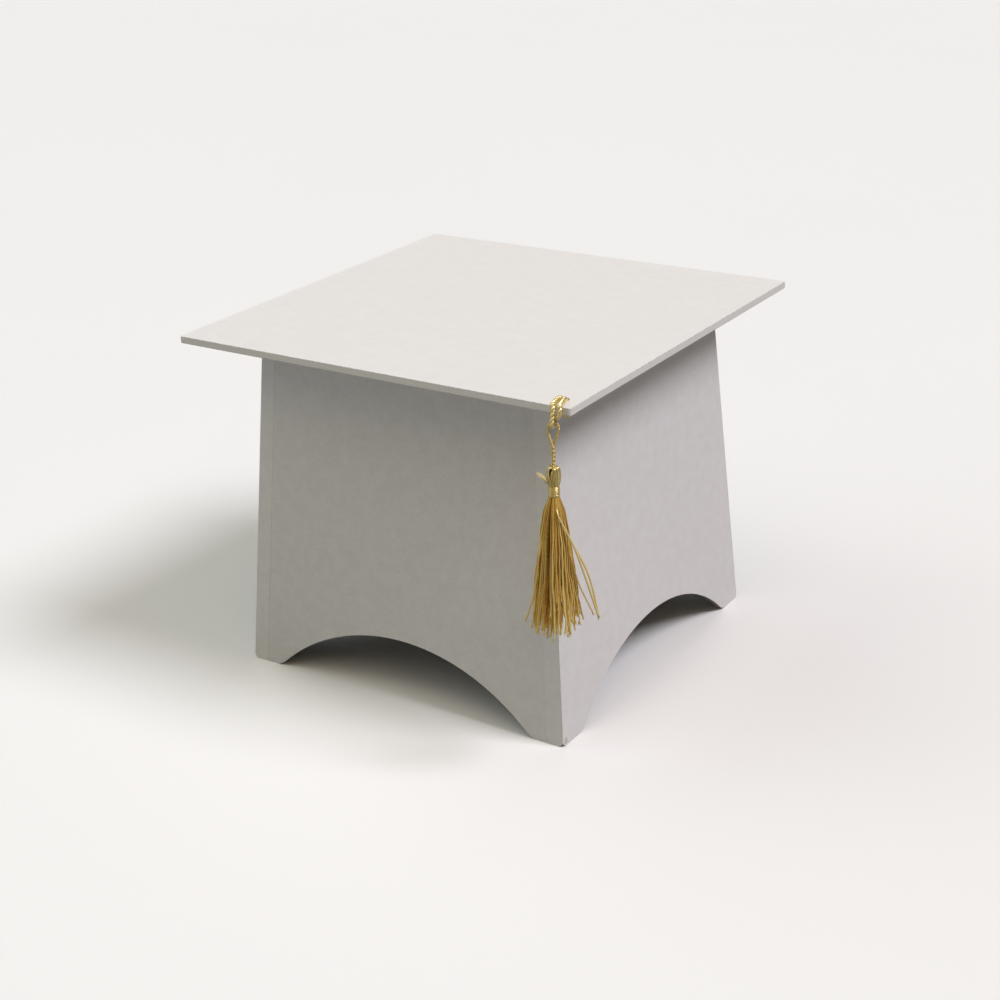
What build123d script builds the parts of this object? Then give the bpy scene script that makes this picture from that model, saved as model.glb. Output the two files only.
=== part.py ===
from build123d import *
from math import atan2, cos, pi, radians, sin, tan
import os

# A graduation cap made as a paper-covered rigid box: a square mortarboard lid with a
# locating collar, on a four-sided body that flares down to four feet between scalloped
# arches, and a gold tassel that hangs over the board's front edge.
# Millimetres. +Z is up, the front wall faces -Y, and the origin is the centre of the
# plane that the feet stand on.

# ---- driving dimensions ------------------------------------------------------------
overall_height = 146.0  # feet to the top of the mortarboard

board_side = 180.0  # mortarboard, over its wrap
board_core_thickness = 2.3
board_corner_radius = 1.0
wrap_thickness = 0.25  # paper on the lid's boards
board_turn_in = 16.0  # width of the wrap glued under the board's edge
cord_hole_from_right = 7.0  # hole's centre, in from the board's right edge
cord_hole_from_front = 7.6
cord_hole_clearance = 0.2  # round the two strands that pass through

overhang_at_feet = 13.0  # board's edge to the covers, each side, at the feet
overhang_at_top = 22.9  # and right under the board
wall_core_thickness = 1.5
cover_thickness = 0.30  # side covers, with their laps round the corners
front_cover_thickness = 0.22  # front and back covers, let in between the laps
lining_thickness = 0.20
corner_lap = 7.0  # width of a side cover's lap on the front or back wall
stay_leg = 10.0  # each leg of the paper stay inside a corner
foot_width = 14.5  # body's corner to the end of the scallop, before rounding
arch_rise = 26.3
arch_foot_radius = 8.0  # where the scallop runs out into a foot
foot_corner_radius = 2.5

ledge_above_arch = 3.0
ledge_height = 6.0
ledge_thickness = 2.0
floor_core_thickness = 2.0
floor_paper_thickness = 0.25
floor_clearance = 0.2

collar_height = 15.0
collar_core_thickness = 2.0
collar_clearance = 0.5  # between the collar and the body's mouth, each side

hanger_radius = 0.85  # thick cord over the board's edge
strand_gap = 0.1  # between its two strands in the hole
cord_lift = 0.02  # between the cord and the board that it lies on
knot_radius = 3.0
knot_drop = 1.6  # knot's centre below the board
loop_radius = 0.52  # thin cord of the tassel
shank_radius = 0.65  # the same cord where its two strands lie together
shank_clearance = 0.15

tassel_from_right = 6.4  # hanging line, in from the board's right edge
tassel_beyond_front = 1.5  # and out from its front edge
meeting_drop = 14.4  # board's top to where the thin cord's strands come together
head_drop = 22.0  # board's top to the head's top
head_radius = 2.72
head_height = 7.5
socket_depth = 3.0  # hole that the shank enters
neck_radius = 1.7
band_radius = 2.15
band_height = 4.2
fringe_length = 54.8  # below the band
fringe_radius = 10.0  # at its ends
tail_radius = 0.5
tail_start = (-1.6, -1.0, -6.6)  # from the head's top centre
tail_end = (-5.1, -3.2, -3.5)

# ---- what follows from them --------------------------------------------------------
board_half = board_side / 2
board_thickness = board_core_thickness + 2 * wrap_thickness
board_top = overall_height
wall_top = board_top - board_thickness
hole_x = board_half - cord_hole_from_right
hole_y = cord_hole_from_front - board_half
strand_offset = hanger_radius + strand_gap / 2
cord_hole_radius = strand_offset + hanger_radius + cord_hole_clearance

foot_half = board_half - overhang_at_feet
arch_half_span = foot_half - foot_width
lean_rate = (overhang_at_top - overhang_at_feet) / wall_top
lean = atan2(lean_rate, 1)
wall_thickness = cover_thickness + wall_core_thickness + lining_thickness
lining_depth = cover_thickness + wall_core_thickness
core_top = wall_top - cover_thickness

ledge_base = arch_rise * cos(lean) + ledge_above_arch
ledge_top = ledge_base + ledge_height
floor_paper_base = ledge_top + floor_core_thickness
floor_top = floor_paper_base + floor_paper_thickness

tassel_x = board_half - tassel_from_right
tassel_y = -board_half - tassel_beyond_front
meeting_z = board_top - meeting_drop
head_top = board_top - head_drop
head_base = head_top - head_height
band_base = head_base - band_height

sides = {"front": 0, "right": 90, "back": 180, "left": 270}


def half_width(height, depth):
    """Half of the body's width at a height, to a face that lies depth inside the wall."""
    return foot_half - lean_rate * height - depth / cos(lean)


def level_plane(turn, height):
    """A level plane whose -Y faces the wall at that turn."""
    return Plane(origin=(0, 0, height), x_dir=Vector(1, 0, 0).rotate(Axis.Z, turn))


def save(part, name):
    part.label = name
    export_step(part, f"parts/{name}.step")


# ---- body: layers of the leaning walls ---------------------------------------------
def wall_plane(turn, depth):
    """The leaning plane of one wall, depth in from its outer face, with X along the wall."""
    along = Vector(1, 0, 0).rotate(Axis.Z, turn)
    outward = Vector(0, -cos(lean), sin(lean)).rotate(Axis.Z, turn)
    foot_line = Vector(0, -foot_half, 0).rotate(Axis.Z, turn)
    return Plane(origin=foot_line - outward * depth, x_dir=along, z_dir=outward)


def wall_outline(zone):
    """The wall's leaning sides, and a scallop between two rounded feet, within a zone."""
    slope_length = wall_top / cos(lean) + wall_thickness
    top_half = foot_half - slope_length * sin(lean)
    with BuildSketch() as outline:
        with BuildLine():
            Polyline(
                (arch_half_span, 0),
                (foot_half, 0),
                (top_half, slope_length),
                (-top_half, slope_length),
                (-foot_half, 0),
                (-arch_half_span, 0),
            )
            ThreePointArc((-arch_half_span, 0), (0, arch_rise), (arch_half_span, 0))
        make_face()
        feet = outline.vertices().group_by(Axis.Y)[0].sort_by(Axis.X)
        fillet([feet[1], feet[2]], arch_foot_radius)
        feet = outline.vertices().group_by(Axis.Y)[0].sort_by(Axis.X)
        fillet([feet[0], feet[-1]], foot_corner_radius)
        if zone:
            Polygon(*zone, align=None, mode=Mode.INTERSECT)
    return outline.sketch


def corner_line(depth, inset, v):
    """How far out along the wall a line lies that runs beside the corner, inset from it."""
    return foot_half - depth * cos(lean) - v * sin(lean) - inset


def middle_zone(depth, inset):
    """The wall without a strip along each corner."""
    low, high = -5.0, wall_top + 5.0
    foot = corner_line(depth, inset, low)
    top = corner_line(depth, inset, high)
    return [(-foot, low), (foot, low), (top, high), (-top, high)]


def end_zone(depth, inset, end):
    """The strip along one corner: end is 1 for the wall's +X end and -1 for the other."""
    low, high, past = -5.0, wall_top + 5.0, -2.0
    inner = [(corner_line(depth, inset, v), v) for v in (low, high)]
    outer = [(corner_line(depth, past, v), v) for v in (high, low)]
    return [(end * u, v) for u, v in inner + outer]


def wall_layer(turn, depth, thickness, low, high, zone=None):
    """One layer of a wall, mitred at the body's corners and cut level at two heights."""
    reach = 2 * foot_half
    with BuildPart() as layer:
        with BuildSketch(wall_plane(turn, depth)):
            add(wall_outline(zone))
        extrude(amount=-thickness)
        with BuildSketch(level_plane(turn, low)):
            Polygon((0, 0), (-reach, -reach), (reach, -reach), align=None)
        extrude(amount=high - low, mode=Mode.INTERSECT)
    return layer.part


def cover_on(turn, thickness, zone=None):
    """A cover's stretch on one wall: its outer face, and its turn over the wall's top edge."""
    edge_depth = wall_thickness - cover_thickness
    face = wall_layer(turn, cover_thickness - thickness, thickness, 0, wall_top, zone)
    rim = wall_layer(turn, cover_thickness, edge_depth, core_top, wall_top, zone)
    return [face, rim]


def one_sheet(layers):
    with BuildPart() as sheet:
        for layer in layers:
            add(layer)
    return sheet.part


def make_wall_boards():
    for side, turn in sides.items():
        board = wall_layer(turn, cover_thickness, wall_core_thickness, 0, core_top)
        save(board, f"wall_board_{side}")


def make_wall_covers():
    """The side covers lap round the corners, and the front and back ones lie between."""
    between_laps = middle_zone(0, corner_lap)
    for side in ("front", "back"):
        sheet = one_sheet(cover_on(sides[side], front_cover_thickness, between_laps))
        save(sheet, f"wall_cover_{side}")
    for side in ("right", "left"):
        turn = sides[side]
        stretches = cover_on(turn, cover_thickness)
        stretches += cover_on(turn - 90, cover_thickness, end_zone(0, corner_lap, 1))
        stretches += cover_on(turn + 90, cover_thickness, end_zone(0, corner_lap, -1))
        save(one_sheet(stretches), f"wall_cover_{side}")


def make_wall_linings():
    """Inner papers, each between two corner stays folded into the corners."""
    between_stays = middle_zone(lining_depth, stay_leg)
    names = list(sides)
    for side, turn in sides.items():
        lining = wall_layer(turn, lining_depth, lining_thickness, 0, core_top, between_stays)
        save(lining, f"wall_lining_{side}")
        legs = [
            wall_layer(
                turn + step,
                lining_depth,
                lining_thickness,
                0,
                core_top,
                end_zone(lining_depth, stay_leg, end),
            )
            for step, end in ((0, 1), (90, -1))
        ]
        after = names[(names.index(side) + 1) % 4]
        save(one_sheet(legs), f"corner_stay_{side}_{after}")


# ---- body: floor on four ledges ----------------------------------------------------
def make_floor():
    for side, turn in sides.items():
        ledge = wall_layer(turn, wall_thickness, ledge_thickness, ledge_base, ledge_top)
        save(ledge, f"floor_ledge_{side}")

    floor_side = 2 * (half_width(floor_top, wall_thickness) - floor_clearance)
    with BuildPart() as board:
        with BuildSketch(Plane.XY.offset(ledge_top)):
            Rectangle(floor_side, floor_side)
        extrude(amount=floor_core_thickness)
    save(board.part, "floor_board")
    with BuildPart() as paper:
        with BuildSketch(Plane.XY.offset(floor_paper_base)):
            Rectangle(floor_side, floor_side)
        extrude(amount=floor_paper_thickness)
    save(paper.part, "floor_paper")


# ---- lid: mortarboard --------------------------------------------------------------
def board_block(height, thickness, inset):
    """The board's square, inset all round, as a solid between two heights."""
    with BuildPart() as block:
        with BuildSketch(Plane.XY.offset(height)):
            RectangleRounded(board_side - 2 * inset, board_side - 2 * inset, board_corner_radius - inset)
        extrude(amount=thickness)
    return block.part


def cord_hole():
    with BuildPart() as hole:
        with BuildSketch(Plane.XY.offset(wall_top)):
            with Locations((hole_x, hole_y)):
                Circle(cord_hole_radius)
        extrude(amount=board_thickness)
    return hole.part


def make_mortarboard():
    core_base = wall_top + wrap_thickness
    opening = board_side - 2 * board_turn_in
    with BuildPart() as core:
        add(board_block(core_base, board_core_thickness, wrap_thickness))
        add(cord_hole(), mode=Mode.SUBTRACT)
    save(core.part, "mortarboard_core")

    with BuildPart() as wrap:
        add(board_block(wall_top, board_thickness, 0))
        rims = edges().filter_by(Axis.Z, reverse=True)
        fillet(rims, wrap_thickness * 0.8)
        add(board_block(core_base, board_core_thickness, wrap_thickness), mode=Mode.SUBTRACT)
        with BuildSketch(Plane.XY.offset(wall_top)):
            Rectangle(opening, opening)
        extrude(amount=wrap_thickness, mode=Mode.SUBTRACT)
        add(cord_hole(), mode=Mode.SUBTRACT)
    save(wrap.part, "mortarboard_wrap")

    with BuildPart() as lining:
        with BuildSketch(Plane.XY.offset(wall_top)):
            Rectangle(opening, opening)
        extrude(amount=wrap_thickness)
    save(lining.part, "mortarboard_lining")


# ---- lid: collar that drops into the body's mouth ----------------------------------
def make_collar():
    outer = half_width(wall_top, wall_thickness) - collar_clearance
    strip_outer = outer - wrap_thickness
    strip_inner = strip_outer - collar_core_thickness
    inner = strip_inner - wrap_thickness
    base = wall_top - collar_height
    strip_base = base + wrap_thickness
    for side, turn in sides.items():
        with BuildPart() as strip:
            with BuildSketch(level_plane(turn, strip_base)):
                Polygon(
                    (-strip_outer, -strip_outer),
                    (strip_outer, -strip_outer),
                    (strip_inner, -strip_inner),
                    (-strip_inner, -strip_inner),
                    align=None,
                )
            extrude(amount=wall_top - strip_base)
        save(strip.part, f"collar_strip_{side}")

    with BuildPart() as wrap:
        with BuildSketch(Plane.XY.offset(base)):
            Rectangle(2 * outer, 2 * outer)
            Rectangle(2 * inner, 2 * inner, mode=Mode.SUBTRACT)
        extrude(amount=collar_height)
        with BuildSketch(Plane.XY.offset(strip_base)):
            Rectangle(2 * strip_outer, 2 * strip_outer)
            Rectangle(2 * strip_inner, 2 * strip_inner, mode=Mode.SUBTRACT)
        extrude(amount=collar_height, mode=Mode.SUBTRACT)
    save(wrap.part, "collar_wrap")


# ---- cords -------------------------------------------------------------------------
def from_corner(offsets):
    """Points given from the board's front right top corner."""
    corner = Vector(board_half, -board_half, board_top)
    return [corner + Vector(*offset) for offset in offsets]


def bend_radii(route):
    """Each bend takes 0.45 of its shorter run on either side."""
    radii = []
    for before, here, after in zip(route, route[1:], route[2:]):
        turn = radians((here - before).get_angle(after - here))
        run = min((here - before).length, (after - here).length)
        radii.append(0.45 * run / tan(turn / 2))
    return radii


def make_cord(name, route, radius):
    radii = bend_radii(route)
    with BuildPart() as cord:
        with BuildLine() as path:
            FilletPolyline(*route, radius=radii)
        with BuildSketch(Plane(origin=path.line @ 0, z_dir=path.line % 0)):
            Circle(radius)
        sweep()
    save(cord.part, name)
    length = path.wires()[0].length
    expected = pi * radius**2 * length
    print(name, "bend radii", [round(r, 2) for r in radii])
    print(name, "length", round(length, 2), "volume over section x length", cord.part.volume / expected)


# Thick cord: knot, hole, over the front edge, down to the bight, and up behind itself.
down_x = -cord_hole_from_right - strand_offset
back_x = -cord_hole_from_right + strand_offset
lying_z = hanger_radius + cord_lift
hanger_route = from_corner(
    [
        (down_x, cord_hole_from_front, -board_thickness),
        (down_x, cord_hole_from_front, lying_z),
        (-7.90, 3.60, lying_z),
        (-6.45, -1.60, lying_z),
        (-6.05, -1.85, -1.90),
        (-5.95, -3.00, -4.80),
        (-6.30, -2.70, -7.00),
        (-6.60, 0.10, -7.00),
        (-6.60, 0.60, -4.60),
        (-4.80, -1.20, -3.90),
        (-3.45, -1.75, -2.30),
        (-3.45, -1.60, lying_z),
        (-5.00, 2.60, lying_z),
        (back_x, cord_hole_from_front, lying_z),
        (back_x, cord_hole_from_front, -board_thickness),
    ]
)

# Thin cord: from where its strands meet, up the left side, through the bight and down.
loop_route = from_corner(
    [
        (-6.90, -1.90, -13.30),
        (-7.50, -2.20, -11.20),
        (-8.40, -2.00, -7.60),
        (-7.40, -1.50, -5.60),
        (-5.30, -1.05, -5.60),
        (-4.20, -0.75, -7.30),
        (-5.05, -0.95, -10.80),
        (-5.90, -1.10, -13.30),
    ]
)


def make_cords():
    make_cord("hanger_cord", hanger_route, hanger_radius)
    make_cord("tassel_loop", loop_route, loop_radius)

    with BuildPart() as knot:
        with Locations((hole_x, hole_y, wall_top - knot_drop)):
            Sphere(knot_radius)
        split(bisect_by=Plane.XY.offset(wall_top), keep=Keep.BOTTOM)
    save(knot.part, "hanger_knot")

    shank_end = head_top - socket_depth + shank_clearance
    with BuildPart() as shank:
        with BuildSketch(Plane.XY.offset(shank_end)):
            with Locations((tassel_x, tassel_y)):
                Circle(shank_radius)
        extrude(amount=meeting_z - shank_end)
        with Locations((tassel_x, tassel_y, meeting_z)):
            Sphere(shank_radius)
    save(shank.part, "tassel_shank")


# ---- tassel ------------------------------------------------------------------------
def tassel_plane():
    """The upright plane through the tassel's axis, with Z as its own height."""
    return Plane(origin=(tassel_x, tassel_y, 0), x_dir=(1, 0, 0), z_dir=(0, -1, 0))


def turned(outline):
    """A solid of revolution about the tassel's axis, from its outline in radius and height."""
    with BuildPart() as solid:
        with BuildSketch(tassel_plane()):
            with BuildLine():
                Polyline(*outline, close=True)
            make_face()
        revolve(axis=Axis((tassel_x, tassel_y, 0), (0, 0, 1)))
    return solid.part


def make_tassel():
    socket_radius = shank_radius + shank_clearance
    head = turned(
        [
            (socket_radius, head_top),
            (0.6 * head_radius, head_top),
            (0.88 * head_radius, head_top - 0.10 * head_height),
            (head_radius, head_top - 0.30 * head_height),
            (0.97 * head_radius, head_top - 0.62 * head_height),
            (band_radius, head_base),
            (0, head_base),
            (0, head_top - socket_depth),
            (socket_radius, head_top - socket_depth),
        ]
    )
    save(head, "tassel_head")

    band = turned(
        [
            (neck_radius, band_base),
            (band_radius, band_base),
            (band_radius, head_base),
            (neck_radius, head_base),
        ]
    )
    save(band, "tassel_neck_band")

    ends = band_base - fringe_length
    fringe = turned(
        [
            (0, head_base),
            (neck_radius, head_base),
            (neck_radius, band_base),
            (0.42 * fringe_radius, band_base - 0.12 * fringe_length),
            (0.58 * fringe_radius, band_base - 0.25 * fringe_length),
            (0.78 * fringe_radius, band_base - 0.60 * fringe_length),
            (0.98 * fringe_radius, band_base - 0.92 * fringe_length),
            (fringe_radius, ends),
            (0, ends),
        ]
    )
    save(fringe, "tassel_fringe")

    top = Vector(tassel_x, tassel_y, head_top)
    start = top + Vector(*tail_start)
    end = top + Vector(*tail_end)
    with BuildPart() as tail:
        with BuildSketch(Plane(origin=start, z_dir=end - start)):
            Circle(tail_radius)
        extrude(amount=(end - start).length)
        add(head, mode=Mode.SUBTRACT)
    save(tail.part, "band_tail")


os.makedirs("parts", exist_ok=True)
make_wall_boards()
make_wall_covers()
make_wall_linings()
make_floor()
make_mortarboard()
make_collar()
make_cords()
make_tassel()
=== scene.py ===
# %% [markdown]
# # A gift box shaped like a graduation cap
# The real object is a rigid paper box: grey pasteboard under white paper, a square
# mortarboard for a lid, and a gold tassel that hangs over the board's front edge.
# The flat boards come from a CAD model. They stay as they are and get better finishes.
# What folds, twists or frays is made here, over the CAD model, in the same places.

# %% Load the CAD model
import math
import random

import bmesh
import bpy
from mathutils import Matrix, Vector


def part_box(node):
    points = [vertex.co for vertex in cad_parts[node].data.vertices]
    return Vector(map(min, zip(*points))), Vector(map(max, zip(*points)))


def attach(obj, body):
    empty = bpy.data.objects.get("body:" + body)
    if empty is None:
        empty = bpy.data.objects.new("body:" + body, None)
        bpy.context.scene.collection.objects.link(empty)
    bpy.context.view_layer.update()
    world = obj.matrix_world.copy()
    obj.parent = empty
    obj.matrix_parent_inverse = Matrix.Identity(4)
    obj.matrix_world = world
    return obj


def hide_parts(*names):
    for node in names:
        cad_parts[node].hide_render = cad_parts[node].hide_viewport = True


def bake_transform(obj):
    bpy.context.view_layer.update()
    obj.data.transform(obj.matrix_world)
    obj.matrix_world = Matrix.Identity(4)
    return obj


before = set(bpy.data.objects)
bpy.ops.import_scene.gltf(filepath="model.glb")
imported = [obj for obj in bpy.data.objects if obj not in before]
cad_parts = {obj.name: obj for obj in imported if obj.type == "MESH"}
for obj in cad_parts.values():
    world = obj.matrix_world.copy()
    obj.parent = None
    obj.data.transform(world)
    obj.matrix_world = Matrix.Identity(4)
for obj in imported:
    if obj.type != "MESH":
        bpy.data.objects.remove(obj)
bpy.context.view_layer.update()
mm = 0.001

# %% [markdown]
# ## Camera
# A product camera stands a little above the box and turned past its front right corner,
# so that two walls and the whole board show. A longish lens keeps the board's edges
# calm. The camera is turned in three steps, as a tripod head is: pan, tilt, and roll.

# %% Camera
pan, tilt, roll = math.radians(33.150), math.radians(22.721), math.radians(-1.706)
camera_place = Vector((0.3932, -0.6007, 0.3610))
camera_data = bpy.data.cameras.new("camera")
camera_data.sensor_width = 36.0
camera_data.lens = 65.314
camera_data.clip_start, camera_data.clip_end = 0.01, 50.0
camera = bpy.data.objects.new("camera", camera_data)
camera.matrix_world = (
    Matrix.Translation(camera_place)
    @ Matrix.Rotation(pan, 4, "Z")
    @ Matrix.Rotation(math.pi / 2 - tilt, 4, "X")
    @ Matrix.Rotation(roll, 4, "Z")
)
bpy.context.scene.collection.objects.link(camera)
bpy.context.scene.camera = camera
print("camera to the box's foot:", round(camera_place.length, 3), "m")

# %% [markdown]
# ## Cord routes
# Both cords are soft, so each follows one smooth line. A NURBS spline is pulled towards
# its control points without passing through them, which gives bends that look like
# thread under a little tension. Its order is set after the points are added, because a
# new spline with one point can't hold order 3.

# %% A smooth line from control points
def smooth_route(name, points):
    """A curve of one open NURBS spline that is pulled towards the points."""
    curve = bpy.data.curves.new(name, "CURVE")
    curve.dimensions = "3D"
    spline = curve.splines.new("NURBS")
    spline.points.add(len(points) - 1)
    for control, point in zip(spline.points, points):
        control.co = (*point, 1)
    spline.order_u = 3
    spline.use_endpoint_u = True
    spline.resolution_u = 16
    return curve


def read_line(curve):
    """The points that the curve's bare line passes through, evenly spaced."""
    holder = bpy.data.objects.new("line_reader", curve)
    mesh = bpy.data.meshes.new_from_object(holder)
    points = [v.co.copy() for v in mesh.vertices]
    bpy.data.objects.remove(holder)
    bpy.data.meshes.remove(mesh)
    return evenly_spaced(points, 0.12 * mm)


def evenly_spaced(points, step):
    """The same line with its points one step apart."""
    spaced, left = [points[0]], step
    for here, there in zip(points, points[1:]):
        run = (there - here).length
        while run > 1e-9 and left <= run:
            here = here.lerp(there, left / run)
            spaced.append(here)
            run, left = (there - here).length, step
        left -= run
    return spaced


def line_length(points):
    return sum((b - a).length for a, b in zip(points, points[1:]))


# %% [markdown]
# The hanger is the thick cord. It comes up out of a hole near the board's corner, lies on
# the board, goes over the front edge, and turns back in a small bight that holds the
# tassel's own thin cord. The bight hangs square to the edge, so its second strand is
# behind the first. All points are given from the board's front right top corner.

# %% The hanger's route
board_low, board_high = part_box("mortarboard_wrap")
board_corner = Vector((board_high.x, board_low.y, board_high.z))


def from_corner(x, y, z):
    """A point by its distances from the corner, in millimetres."""
    return board_corner + Vector((x, y, z)) * mm


hanger_route = smooth_route("hanger_route", [from_corner(*place) for place in (
    (-7.90, 7.60, -2.80), (-7.90, 7.60, 0.87), (-7.90, 3.60, 0.87),
    (-6.45, -1.60, 0.87), (-6.05, -1.85, -1.90), (-5.95, -3.00, -4.80),
    (-6.30, -2.70, -7.00), (-6.60, 0.10, -7.00), (-6.60, 0.60, -4.60),
    (-4.80, -1.20, -3.90), (-3.45, -1.75, -2.30), (-3.45, -1.60, 0.87),
    (-5.00, 2.60, 0.87), (-6.10, 7.60, 0.87), (-6.10, 7.60, -2.80),
)])
hanger_line = read_line(hanger_route)
print("hanger:", round(line_length(hanger_line) / mm, 1), "mm long")

# %% [markdown]
# The thin cord starts inside the tassel's head. One strand climbs round the other, opens
# into the loop, passes through the hanger's bight, and comes back down. The two strands
# of the stem wind round each other as they would if the tassel had spun a few times.
# The meeting angle is where on the screw line each strand leaves the stem for the loop.

# %% The thin cord's route
head_low, head_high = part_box("tassel_head")
tassel_axis = (head_low + head_high) / 2
tassel_axis.z = 0
head_top = head_high.z
stem_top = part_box("tassel_shank")[1].z - 0.65 * mm
stem_foot = head_top - 1.9 * mm
strand_orbit = 0.32 * mm
stem_turns = 3.25
points_per_turn = 12
meeting_angle = math.radians(230.7)


def stem_strand(first_angle, upwards):
    """One strand of the stem, as points on a screw line round the tassel's axis."""
    count = round(points_per_turn * stem_turns)
    points = []
    for i in range(count + 1):
        share = i / count
        angle = first_angle + math.tau * stem_turns * share
        height = stem_top + (stem_foot - stem_top) * share
        offset = Vector((math.cos(angle), math.sin(angle), 0)) * strand_orbit
        points.append(tassel_axis + offset + Vector((0, 0, height)))
    return points[::-1] if upwards else points


thin_route = smooth_route("thin_route", [
    *stem_strand(meeting_angle, upwards=True),
    *(from_corner(*place) for place in (
        (-6.90, -1.90, -13.30), (-7.50, -2.20, -11.20), (-8.40, -2.00, -7.60),
        (-7.40, -1.50, -5.60), (-5.30, -1.05, -5.60), (-4.20, -0.75, -7.30),
        (-5.05, -0.95, -10.80), (-5.90, -1.10, -13.30),
    )),
    *stem_strand(meeting_angle + math.pi, upwards=False),
])
thin_line = read_line(thin_route)
print("thin cord:", round(line_length(thin_line) / mm, 1), "mm long")

# %% [markdown]
# ## Twisted plies
# A cord is two or more plies laid round each other. Each ply is a tube on its own screw
# line round the cord's route. To stay on the route round a bend, the screw is drawn in a
# small frame of two sideways directions, which is carried along the route without
# turning: at each step it only takes the turn that the route itself makes.

# %% Screw lines round a route
def sideways_frames(points):
    """Two directions square to the line at each point, carried along without twist."""
    tangents = [(b - a).normalized() for a, b in zip(points, points[1:])]
    tangents.append(tangents[-1])
    side = tangents[0].orthogonal().normalized()
    frames = [(side, tangents[0].cross(side))]
    for before, after in zip(tangents, tangents[1:]):
        side = before.rotation_difference(after) @ side
        side = (side - after * side.dot(after)).normalized()
        frames.append((side, after.cross(side)))
    return frames


def screw_line(points, frames, orbit, pitch, phase):
    """A line that winds round another: orbit away from it, one turn in each pitch."""
    wound, along = [], 0.0
    for i, (point, (side, up)) in enumerate(zip(points, frames)):
        if i:
            along += (point - points[i - 1]).length
        angle = phase + math.tau * along / pitch
        wound.append(point + orbit * (math.cos(angle) * side + math.sin(angle) * up))
    return wound


# %% [markdown]
# A curve with a bevel is already a tube, and a curve can give each point its own radius,
# so plies and yarns are drawn as curves and then turned into meshes. The mesh keeps a UV
# map that runs along and round the tube, which the thread's finish follows later.

# %% Tubes as meshes
def shade_layer(bm):
    """Where bm keeps one shade for each vertex. It is made the first time."""
    return bm.verts.layers.float.get("shade") or bm.verts.layers.float.new("shade")


def add_tube(bm, points, radius, radii=None, roundness=2, shade=0.5):
    """Adds a closed tube along the points to bm. radii scales the radius point by point,
    and shade is kept on its vertices, for the finish to read."""
    curve = bpy.data.curves.new("tube", "CURVE")
    curve.dimensions = "3D"
    curve.bevel_depth = radius
    curve.bevel_resolution = roundness
    curve.use_fill_caps = True
    spline = curve.splines.new("POLY")
    spline.points.add(len(points) - 1)
    for i, (control, point) in enumerate(zip(spline.points, points)):
        control.co = (*point, 1)
        control.radius = radii[i] if radii else 1.0
    holder = bpy.data.objects.new("tube", curve)
    mesh = bpy.data.meshes.new_from_object(holder)
    shades = shade_layer(bm)
    already = len(bm.verts)
    bm.from_mesh(mesh)
    bm.verts.ensure_lookup_table()
    fresh = bm.verts[already:]
    for v in fresh:
        v[shades] = shade
    bmesh.ops.remove_doubles(bm, verts=fresh, dist=1e-7)
    bpy.data.objects.remove(holder)
    bpy.data.curves.remove(curve)
    bpy.data.meshes.remove(mesh)


def finished(bm, name, material, smooth=True):
    """Turns bm into an object at the origin that carries its finish."""
    mesh = bpy.data.meshes.new(name)
    for face in bm.faces:
        face.smooth = smooth
    bm.to_mesh(mesh)
    bm.free()
    mesh.materials.append(material)
    piece = bpy.data.objects.new(name, mesh)
    bpy.context.scene.collection.objects.link(piece)
    print(name, "has", len(mesh.polygons), "faces")
    return piece


# %% [markdown]
# ## Finishes
# Each finish is a Principled BSDF. What changes over the surface is worked out in small
# node groups that are built once: paper fibre, rubbed folds, thread filaments. A group
# hands back masks and heights, and the material turns them into colour, roughness and
# bumps.

# %% Small helpers for node trees
def add_node(tree, kind, **values):
    """A new node. A value goes to the node's own property, or to its input of that name."""
    node = tree.nodes.new(kind)
    for name, value in values.items():
        if hasattr(node, name):
            setattr(node, name, value)
        else:
            node.inputs[name.replace("_", " ")].default_value = value
    return node


def put(tree, value, socket):
    """Links an output to a socket, or sets a plain value."""
    if isinstance(value, bpy.types.NodeSocket):
        tree.links.new(value, socket)
    else:
        socket.default_value = value


def calculate(tree, operation, *values):
    """A Math node on outputs or plain numbers."""
    node = add_node(tree, "ShaderNodeMath", operation=operation)
    for value, socket in zip(values, node.inputs):
        put(tree, value, socket)
    return node.outputs[0]


def ramp_between(tree, value, low, high, out_low=0.0, out_high=1.0, smooth=False):
    """A Map Range node: low to high becomes out_low to out_high."""
    node = add_node(tree, "ShaderNodeMapRange", clamp=True)
    node.interpolation_type = "SMOOTHSTEP" if smooth else "LINEAR"
    for name, number in (
        ("Value", value), ("From Min", low), ("From Max", high),
        ("To Min", out_low), ("To Max", out_high),
    ):
        put(tree, number, node.inputs[name])
    return node.outputs["Result"]


def blend_tones(tree, factor, first, second):
    """A Mix node on two colours. Its colour sockets are numbers 6 and 7."""
    node = add_node(tree, "ShaderNodeMix", data_type="RGBA")
    put(tree, factor, node.inputs[0])
    for tone, socket in ((first, node.inputs[6]), (second, node.inputs[7])):
        put(tree, tone if isinstance(tone, bpy.types.NodeSocket) else (*tone, 1), socket)
    return node.outputs[2]


def raise_surface(tree, height, distance, under=None):
    """A Bump node, on top of another one if under is given."""
    node = add_node(tree, "ShaderNodeBump")
    node.inputs["Distance"].default_value = distance
    put(tree, height, node.inputs["Height"])
    if under:
        put(tree, under, node.inputs["Normal"])
    return node.outputs["Normal"]


def new_group(name, inputs, outputs):
    """A node group with coordinates and numbers coming in, and numbers going out."""
    group = bpy.data.node_groups.new(name, "ShaderNodeTree")
    group.interface.new_socket("Coordinates", in_out="INPUT", socket_type="NodeSocketVector")
    for label, value in inputs.items():
        number = group.interface.new_socket(label, in_out="INPUT", socket_type="NodeSocketFloat")
        number.default_value = value
    for label in outputs:
        group.interface.new_socket(label, in_out="OUTPUT", socket_type="NodeSocketFloat")
    return group, group.nodes.new("NodeGroupInput"), group.nodes.new("NodeGroupOutput")


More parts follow.
